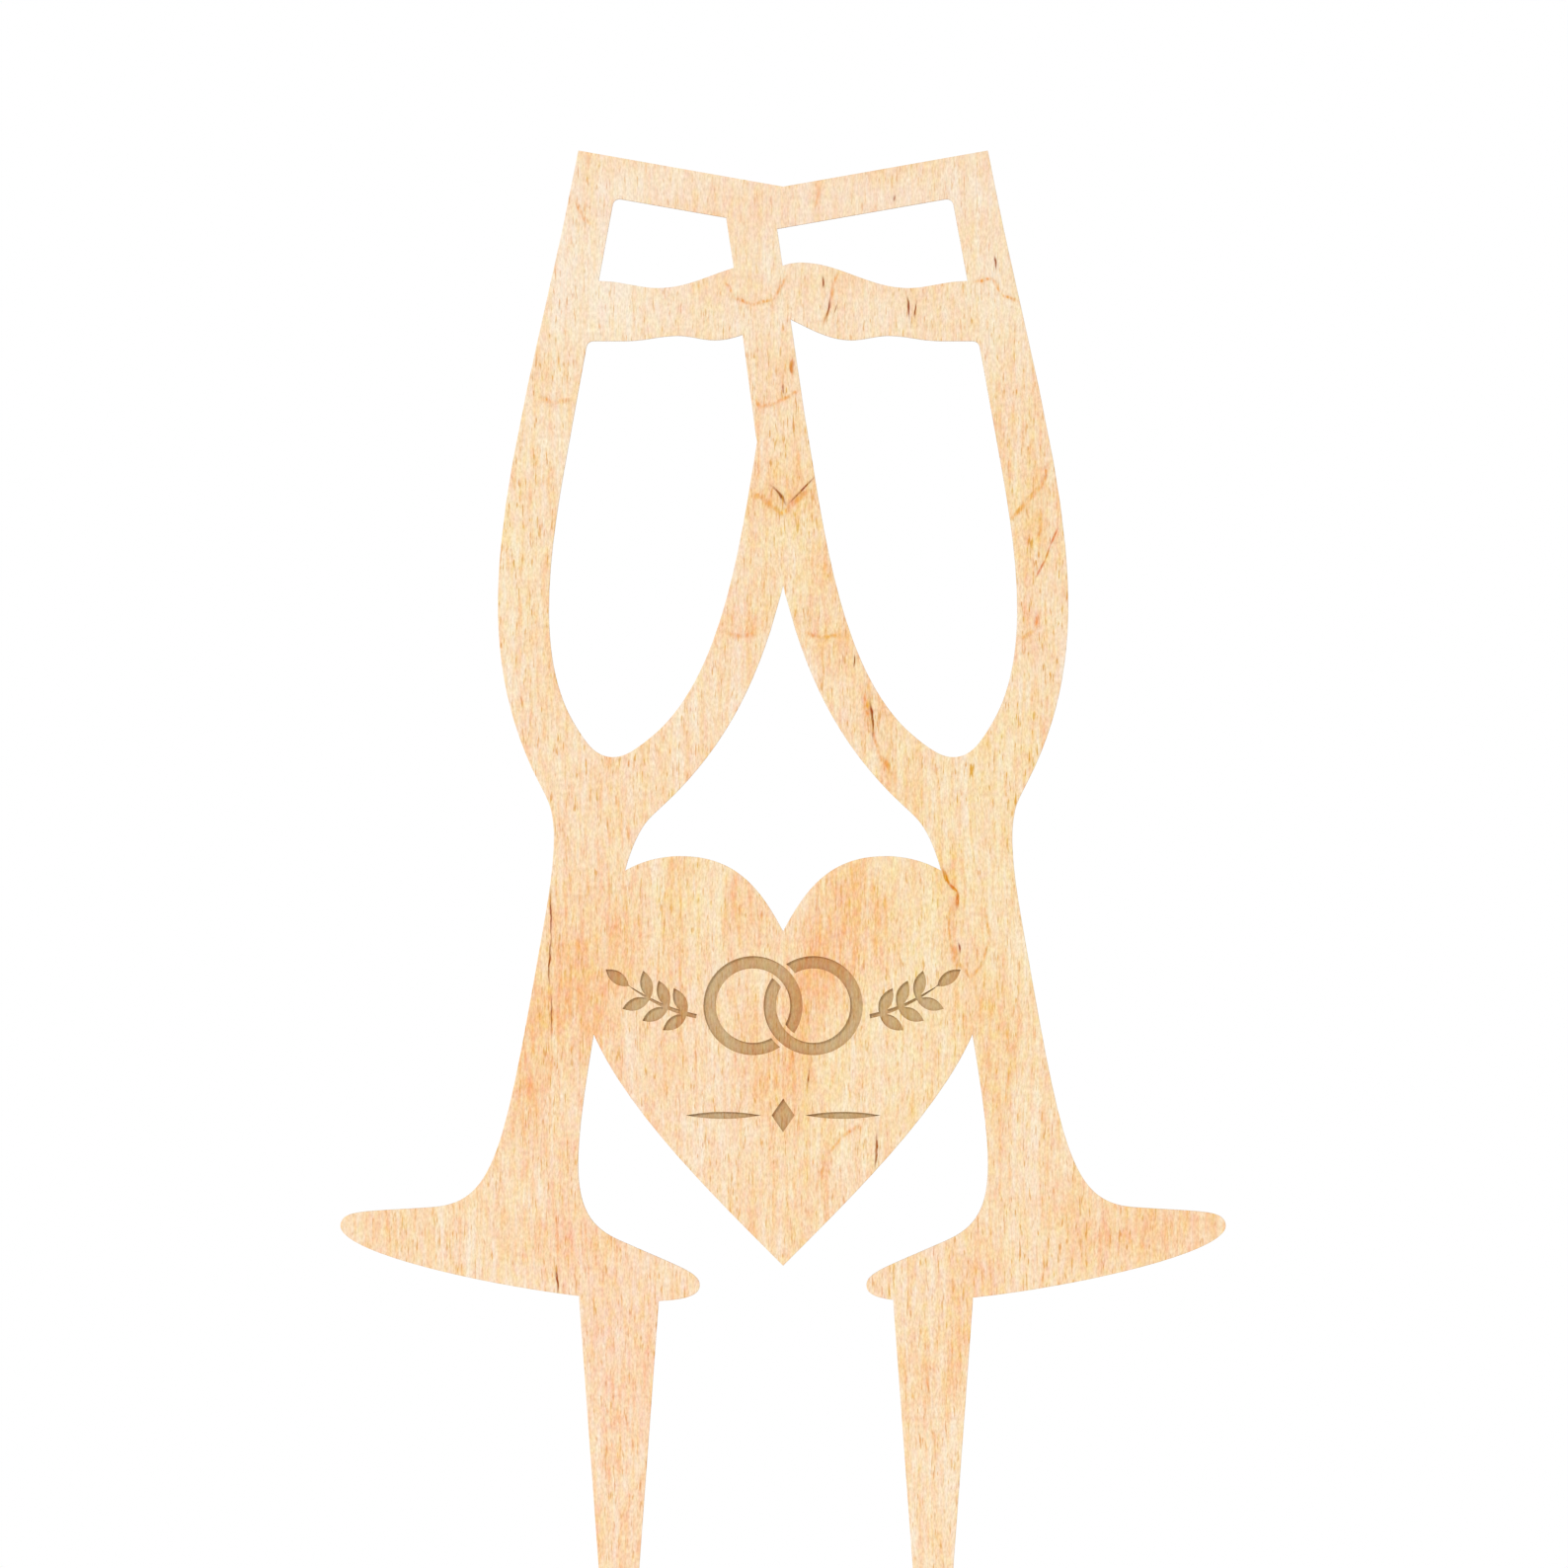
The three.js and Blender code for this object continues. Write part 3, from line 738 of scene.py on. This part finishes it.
@dataclass(frozen=True)
class CutLines:
    """Reads the closed lines that the laser follows off a solid's faces, and smooths them into curves."""

    # A turn sharper than this, or one that a curve would bulge at by more than this, stays a corner
    corner_turn: float = math.radians(45)
    corner_bulge: float = 0.12 * MM
    # A curve is drawn in chords that turn by no more than this
    finest_turn: float = math.radians(3)
    # Points closer than this are left out
    shortest_chord: float = 0.05 * MM

    def at_level(self, node: str, level: float) -> list[Line]:
        """Reads the outline of what a CAD node has flat at one level.

        Args:
            node: The node's name.
            level: How far along Y the flat face lies.

        Returns:
            The closed lines round that face and its openings.
        """
        shape = bmesh.new()
        shape.from_mesh(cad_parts[node].data)
        bmesh.ops.remove_doubles(shape, verts=shape.verts, dist=SLACK)
        elsewhere = [f for f in shape.faces if any(abs(v.co.y - level) > SLACK for v in f.verts)]
        bmesh.ops.delete(shape, geom=elsewhere, context="FACES")
        following = {
            corner.vert: corner.link_loop_next.vert
            for edge in shape.edges
            if edge.is_boundary
            for corner in edge.link_loops
        }
        lines = []
        while following:
            here = next(iter(following))
            line = []
            while here in following:
                line.append(here.co.copy())
                here = following.pop(here)
            lines.append(self.smoothed(line))
        shape.free()
        return lines

    def smoothed(self, line: Line) -> Line:
        """Puts a curve through the points of a closed line, with its corners kept sharp.

        Args:
            line: The points of the line.

        Returns:
            More points, on the curve.
        """
        pairs = zip(line[-1:] + line, line)
        points = [point for before, point in pairs if (point - before).length > self.shortest_chord]
        spans = [after - point for point, after in zip(points, points[1:] + points[:1])]
        ways = [self.ways_at(before, after) for before, after in zip(spans[-1:] + spans, spans)]
        curve = []
        for place, (start, span) in enumerate(zip(points, spans)):
            leaving = ways[place][1]
            arriving = ways[(place + 1) % len(ways)][0]
            bend = leaving.angle(span) + arriving.angle(span)
            steps = max(1, math.ceil(bend / self.finest_turn))
            reach = span.length / 3
            end = start + span
            handles = (start + leaving * reach, end - arriving * reach)
            curve.extend(interpolate_bezier(start, *handles, end, steps + 1)[:-1])
        return curve

    def ways_at(self, before: Vector, after: Vector) -> tuple[Vector, Vector]:
        """Tells which way the curve runs where two chords meet.

        Args:
            before: The chord up to the point.
            after: The chord from the point on.

        Returns:
            The directions in which the curve arrives and leaves, which differ only at a corner.
        """
        turn = before.angle(after)
        # How far an arc with this turn would bulge from the shorter chord
        bulge = min(before.length, after.length) / 2 * math.tan(turn / 4)
        if turn > self.corner_turn or bulge > self.corner_bulge:
            return before.normalized(), after.normalized()
        through = (before + after).normalized()
        return through, through


def pocket_level(node: str) -> float:
    """Finds the floor of the pockets in a CAD node, between the node's two faces.

    Args:
        node: The node's name.

    Returns:
        How far along Y the floor lies.
    """
    low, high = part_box(node)
    levels = [vertex.co.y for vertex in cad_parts[node].data.vertices]
    return next(level for level in levels if low.y + SLACK < level < high.y - SLACK)


def traced(shape: BMesh, lines: Iterable[Line], level: float) -> list[list[BMVert]]:
    """Puts the points of closed lines at one level along Y, as vertices in the same order."""
    return [[shape.verts.new((point.x, level, point.z)) for point in line] for line in lines]


def filled(shape: BMesh, lines: list[list[BMVert]]) -> list[BMFace]:
    """Fills closed lines with faces, leaving what lies inside an inner line open.

    Args:
        shape: The mesh that holds the lines.
        lines: The vertices of each line, in order.

    Returns:
        The new faces.
    """
    edges = []
    for line in lines:
        for start, end in zip(line, line[1:] + line[:1]):
            edges.append(shape.edges.get((start, end)) or shape.edges.new((start, end)))
    made = bmesh.ops.triangle_fill(shape, use_beauty=True, edges=edges)
    return [item for item in made["geom"] if isinstance(item, BMFace)]


def raised(shape: BMesh, faces: list[BMFace], rise: float) -> list[BMFace]:
    """Extrudes a flat region along Y.

    Args:
        shape: The mesh.
        faces: The region.
        rise: How far along Y it goes.

    Returns:
        The region at its new level.
    """
    edges = list(dict.fromkeys(edge for face in faces for edge in face.edges))
    made = bmesh.ops.extrude_face_region(shape, geom=faces + edges)["geom"]
    verts = [item for item in made if isinstance(item, BMVert)]
    bmesh.ops.translate(shape, verts=verts, vec=(0, rise, 0))
    return [item for item in made if isinstance(item, BMFace)]


@dataclass
class Layer:
    """A layer of the sheet, cut to its outline. One inside the sheet shows only at the cut edge."""

    node: str
    piece_name: str
    slot: str
    lines: list[Line]
    materials: dict[Surface, Material]
    sharp_turn: float = math.radians(35)

    def model(self, shape: BMesh) -> None:
        """Models the layer as a slab between the levels of its CAD solid.

        Args:
            shape: The mesh that takes it.
        """
        low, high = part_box(self.node)
        sheet = filled(shape, traced(shape, self.lines, low.y))
        raised(shape, sheet, high.y - low.y)

    def shaded(self, shape: BMesh) -> None:
        """Smooths the shading round the cut edge, up to its corners and the flat faces.

        Args:
            shape: The mesh.
        """
        for face in shape.faces:
            face.smooth = abs(face.normal.y) < FLAT
        for edge in shape.edges:
            edge.smooth = edge.calc_face_angle(0) < self.sharp_turn

    def piece(self) -> Object:
        """Builds the layer and sets it in place of its CAD solid.

        Returns:
            The finished object.
        """
        shape = bmesh.new()
        self.model(shape)
        bmesh.ops.recalc_face_normals(shape, faces=shape.faces)
        self.shaded(shape)
        mesh = bpy.data.meshes.new(self.piece_name)
        shape.to_mesh(mesh)
        shape.free()
        for surface in Surface:
            if surface in self.materials:
                mesh.materials.append(self.materials[surface])
        made = bpy.data.objects.new(self.piece_name, mesh)
        bpy.context.scene.collection.objects.link(made)
        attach(made, BODY)
        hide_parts(self.node)
        LOG.info("%s: %d faces in place of %s", made.name, len(mesh.polygons), self.node)
        return made


@dataclass
class FaceVeneer(Layer):
    """A veneer on a face of the sheet, with a sanded arris and, on the front, the engraving."""

    side: Side = Side.FRONT
    arris: float = 0.08 * MM
    arris_steps: int = 3
    pockets: tuple[Line, ...] = ()
    pocket_floor: float = 0.0

    def model(self, shape: BMesh) -> None:
        """Models the veneer from its glued side out to its arris and face, and burns the pockets in.

        Args:
            shape: The mesh that takes it.
        """
        low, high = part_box(self.node)
        inner, outer = (high.y, low.y) if self.side is Side.FRONT else (low.y, high.y)
        shoulder = outer - self.side.value * self.arris
        border = traced(shape, self.lines, inner)
        engraved = traced(shape, self.pockets, inner)
        sheet = filled(shape, border + engraved)
        floors = filled(shape, engraved) if engraved else []
        # What is raised keeps this mark, which tells the pockets from the rest of the face
        for face in floors:
            face.material_index = Surface.ENGRAVED.value
        top = raised(shape, sheet + floors, shoulder - inner)
        sunken = [face for face in top if face.material_index == Surface.ENGRAVED.value]
        for face in shape.faces:
            face.material_index = Surface.EDGE.value
        for face in top:
            face.material_index = Surface.FACE.value
        bmesh.ops.recalc_face_normals(shape, faces=shape.faces)
        self.rounded(shape, top)
        if sunken:
            self.sunk(shape, sunken, self.pocket_floor - outer)

    def rounded(self, shape: BMesh, faces: list[BMFace]) -> None:
        """Rounds the border of the face into its arris, ring by ring.

        Args:
            shape: The mesh.
            faces: The face, as far below its level as the arris is wide.
        """
        quarter = math.pi / 2
        for step in range(self.arris_steps):
            start = quarter * step / self.arris_steps
            end = quarter * (step + 1) / self.arris_steps
            ring = bmesh.ops.inset_region(
                shape,
                faces=faces,
                use_boundary=True,
                use_even_offset=True,
                thickness=self.arris * (math.cos(start) - math.cos(end)),
                depth=self.arris * (math.sin(end) - math.sin(start)),
            )
            for face in ring["faces"]:
                face.material_index = Surface.FACE.value

    def sunk(self, shape: BMesh, faces: list[BMFace], rise: float) -> None:
        """Sinks the pockets of the engraving to their floor.

        Args:
            shape: The mesh.
            faces: The pockets' faces, still at the level of the veneer's face.
            rise: How far along Y the floor lies from there.
        """
        for floor in raised(shape, faces, rise):
            for edge in floor.edges:
                for face in edge.link_faces:
                    face.material_index = Surface.ENGRAVED.value


@dataclass
class Plywood:
    """The sheet: two face veneers and a core, bonded by two glue lines, all cut to one outline."""

    front: BirchVeneer = BirchVeneer(lines=(FLAMES, AMBER, CHECKS))
    # The laser chars the floor of the engraving to an even tan, through which the fibres still show
    engraved: BirchVeneer = BirchVeneer(name="laser-engraved birch", char="#D3C9B4")
    # The back is a stretch of the same leaf, turned end for end, with softer figure
    back: BirchVeneer = BirchVeneer(
        name="sanded birch veneer, back leaf",
        lines=(FLAMES, AMBER, CHECKS),
        leaf_turn=(-1, 1, -1),
        leaf_shift=(4 * MM, 310 * MM, 64 * MM),
        mottle=Streaks(1.4, 6.0, 0.0, 1.2, detail=3.0),
    )
    veneer_edge: LaserEdge = LaserEdge(
        "laser-cut birch edge", "#C9985F", "#7E4F2A", fibres=Streaks(0.18, 3.0, -0.45, 0.45)
    )
    # The core's fibres run the other way, and its edge toasts a little darker
    core_edge: LaserEdge = LaserEdge("laser-cut cross-grain edge", "#BE8B54", "#6F4424")
    # The resin is a thin dark line round the edge, a little glossier than the wood
    resin_edge: LaserEdge = LaserEdge("burnt plywood resin", "#6B452A", "#3A2415", roughness=0.55)

    def pieces(self) -> list[Object]:
        """Builds every layer from the front to the back.

        Returns:
            The finished objects.
        """
        cut = CutLines()
        outline = cut.at_level("core_veneer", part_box("core_veneer")[0].y)
        floor = pocket_level("front_veneer")
        pockets = tuple(cut.at_level("front_veneer", floor))
        edge = self.veneer_edge.made()
        front = {
            Surface.EDGE: edge,
            Surface.FACE: self.front.made(),
            Surface.ENGRAVED: self.engraved.made(),
        }
        film = {Surface.EDGE: self.resin_edge.made()}
        core = {Surface.EDGE: self.core_edge.made()}
        back = {Surface.EDGE: edge, Surface.FACE: self.back.made()}
        layers = (
            FaceVeneer(
                "front_veneer",
                "front_face_ply",
                "birch_face",
                outline,
                front,
                side=Side.FRONT,
                pockets=pockets,
                pocket_floor=floor,
            ),
            Layer("front_glue_line", "front_glue_film", "glue_resin", outline, film),
            Layer("core_veneer", "core_ply", "birch_core", outline, core),
            Layer("back_glue_line", "back_glue_film", "glue_resin", outline, film),
            FaceVeneer("back_veneer", "back_face_ply", "birch_face", outline, back, side=Side.BACK),
        )
        return [layer.piece() for layer in layers]


@dataclass
class Studio:
    """White surroundings, two soft lamps, a paper floor and the camera, with lengths in metres."""

    view_width: float = 177.23 * MM
    aim_x: float = 0.1 * MM
    aim_z: float = 58.45 * MM
    camera_distance: float = 8.0
    clip_start: float = 0.1
    clip_end: float = 20.0
    # The sensor's width and the lens are in millimetres, as Blender gives them
    sensor: float = 36.0
    room_light: float = 0.62
    backdrop_light: float = 1.0
    lamp_light: float = 0.3
    lamp_distance: float = 2.4
    lamp_size: float = 0.6
    lamp_way: Triple = (-0.45, -0.77, 0.45)
    floor_size: float = 1.1

    def built(self) -> None:
        """Sets up the world, the lamps, the floor and the camera."""
        self.world()
        key = Vector(self.lamp_way).normalized()
        self.lamp("front_lamp", key)
        self.lamp("back_lamp", Vector((-key.x, -key.y, key.z)))
        self.floor()
        self.camera()
        bpy.context.scene.view_settings.view_transform = "Standard"

    def world(self) -> None:
        """Lights the object evenly from all round, and shows white behind it and in its gloss."""
        world = bpy.data.worlds.new("studio")
        bpy.context.scene.world = world
        world.use_nodes = True
        tree = world.node_tree
        tree.nodes.clear()
        path = add(tree, "ShaderNodeLightPath").outputs
        seen = path["Is Camera Ray"]
        for kind in ("Is Glossy Ray", "Is Transmission Ray"):
            seen = add(tree, "ShaderNodeMath", {0: seen, 1: path[kind]}, operation="MAXIMUM").outputs[0]
        white = linear("#FFFFFF")
        lit = add(tree, "ShaderNodeBackground", {"Color": white, "Strength": self.room_light})
        shown = add(tree, "ShaderNodeBackground", {"Color": white, "Strength": self.backdrop_light})
        mixed = add(tree, "ShaderNodeMixShader", {0: seen, 1: lit.outputs[0], 2: shown.outputs[0]})
        add(tree, "ShaderNodeOutputWorld", {"Surface": mixed.outputs[0]})

    def lamp(self, name: str, way: Vector) -> None:
        """Hangs a square soft lamp that looks at the middle of the object.

        Args:
            name: The lamp's name.
            way: The direction from the object to the lamp.
        """
        data = bpy.data.lights.new(name, "AREA")
        data.size = self.lamp_size
        # The power that lights a face turned along Y as brightly as a room of this strength would
        data.energy = self.lamp_light * math.pi ** 2 * self.lamp_distance ** 2 / abs(way.y)
        made = bpy.data.objects.new(name, data)
        made.location = Vector((0, 0, self.aim_z)) + way * self.lamp_distance
        made.rotation_euler = way.to_track_quat("Z", "Y").to_euler()
        bpy.context.scene.collection.objects.link(made)

    def floor(self) -> None:
        """Lays the paper at the level of the stakes' tips."""
        shape = bmesh.new()
        bmesh.ops.create_grid(shape, x_segments=1, y_segments=1, size=self.floor_size / 2)
        bmesh.ops.translate(shape, verts=shape.verts, vec=(0, 0, CAD_BOX[0].z))
        mesh = bpy.data.meshes.new("paper_floor")
        shape.to_mesh(mesh)
        shape.free()
        mesh.materials.append(StudioFloor().made())
        made = bpy.data.objects.new("paper_floor", mesh)
        bpy.context.scene.collection.objects.link(made)

    def camera(self) -> None:
        """Sets a long lens square to the front face, which fills the same frame as the photograph."""
        data = bpy.data.cameras.new("camera")
        data.sensor_width = self.sensor
        data.lens = self.sensor * self.camera_distance / self.view_width
        data.clip_start = self.clip_start
        data.clip_end = self.clip_end
        made = bpy.data.objects.new("camera", data)
        made.location = (self.aim_x, CAD_BOX[0].y - self.camera_distance, self.aim_z)
        made.rotation_euler = (math.pi / 2, 0, 0)
        bpy.context.scene.collection.objects.link(made)
        bpy.context.scene.camera = made


def main() -> None:
    """Builds the studio and the sheet, and reports each piece."""
    logging.basicConfig(level=logging.INFO, format="%(name)s: %(message)s")
    Studio().built()
    pieces = Plywood().pieces()
    LOG.info("%d pieces ride on %s", len(pieces), BODY)


if __name__ == "__main__":
    main()
